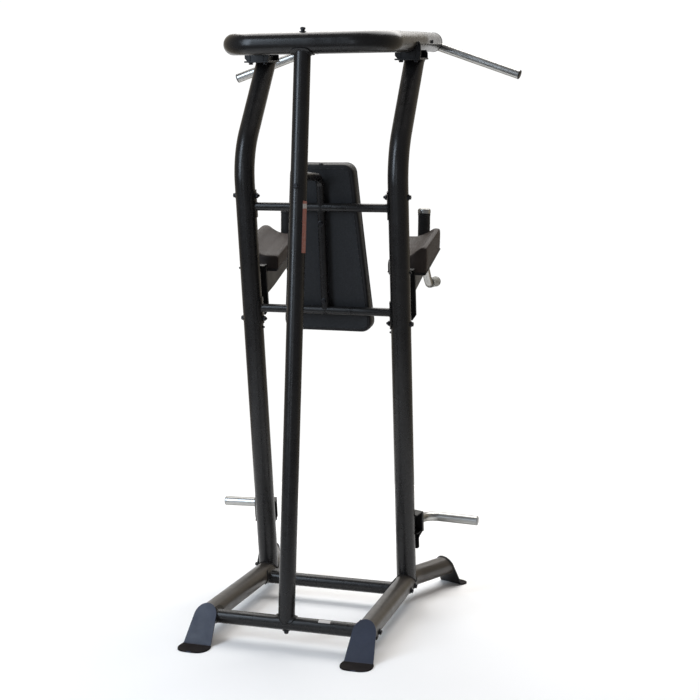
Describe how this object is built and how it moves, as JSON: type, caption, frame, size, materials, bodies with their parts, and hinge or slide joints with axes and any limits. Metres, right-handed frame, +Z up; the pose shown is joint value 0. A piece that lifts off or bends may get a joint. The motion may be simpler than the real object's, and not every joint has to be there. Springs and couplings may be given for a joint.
{
  "type": "power tower",
  "caption": "Free-standing tubular exercise frame with padded arm rests and backrest, dip and push-up handles, and an overhead pull-up bar.",
  "frame": {"origin": "middle of the footprint, on the floor", "axes": "+Z up, -Y towards the side where the user hangs and rests their back, +X to the user's left when they face away from the backrest"},
  "size_m": [1.2326, 1.3132, 2.2617],
  "materials": {
    "frame": "satin powder coat",
    "plate": "satin powder coat",
    "bracket": "satin powder coat",
    "chrome": "polished plate",
    "plug": "satin",
    "rubber": "matt",
    "vinyl": "grained",
    "board": "covered with black cloth",
    "steel": "black oxide"
  },
  "bodies": {
    "root": {"base_rail_L": "frame", "base_rail_R": "frame", "foot_plate_rear_L": "plate", "foot_plate_rear_R": "plate", "foot_plate_front_L": "plate", "foot_plate_front_R": "plate", "rear_crossbar": "frame", "front_crossbar": "frame", "upright_L": "frame", "upright_R": "frame", "centre_post": "frame", "top_frame": "frame", "arm_end_plate_L": "bracket", "arm_end_plate_R": "bracket", "top_bracket_L": "bracket", "top_bracket_R": "bracket", "pull_up_bar": "chrome", "pull_up_cap_L": "plug", "pull_up_cap_R": "plug", "backrest_spine": "frame", "backrest_crossbar_upper_L": "frame", "backrest_crossbar_upper_R": "frame", "backrest_crossbar_lower_L": "frame", "backrest_crossbar_lower_R": "frame", "backrest_board": "board", "backrest_pad": "vinyl", "arm_bracket_L": "bracket", "arm_bracket_R": "bracket", "arm_board_L": "board", "arm_board_R": "board", "arm_pad_L": "vinyl", "arm_pad_R": "vinyl", "dip_handle_L": "chrome", "dip_handle_R": "chrome", "hand_grip_upper_L": "rubber", "hand_grip_upper_R": "rubber", "hand_grip_cap_L": "chrome", "hand_grip_cap_R": "chrome", "hand_grip_lower_L": "rubber", "hand_grip_lower_R": "rubber", "dip_handle_cap_L": "chrome", "dip_handle_cap_R": "chrome", "push_up_bracket_L": "bracket", "push_up_bracket_R": "bracket", "push_up_handle_L": "chrome", "push_up_handle_R": "chrome", "push_up_cap_L": "plug", "push_up_cap_R": "plug", "post_top_nut": "steel", "post_foot_bolt": "steel", "post_rear_bolt": "steel", "spine_bolt_upper": "steel", "spine_bolt_lower": "steel", "backrest_bolt_upper_L": "steel", "backrest_bolt_upper_R": "steel", "backrest_bolt_lower_L": "steel", "backrest_bolt_lower_R": "steel", "rear_crossbar_bolt_L": "steel", "rear_crossbar_bolt_R": "steel"}
  },
  "joints": []
}
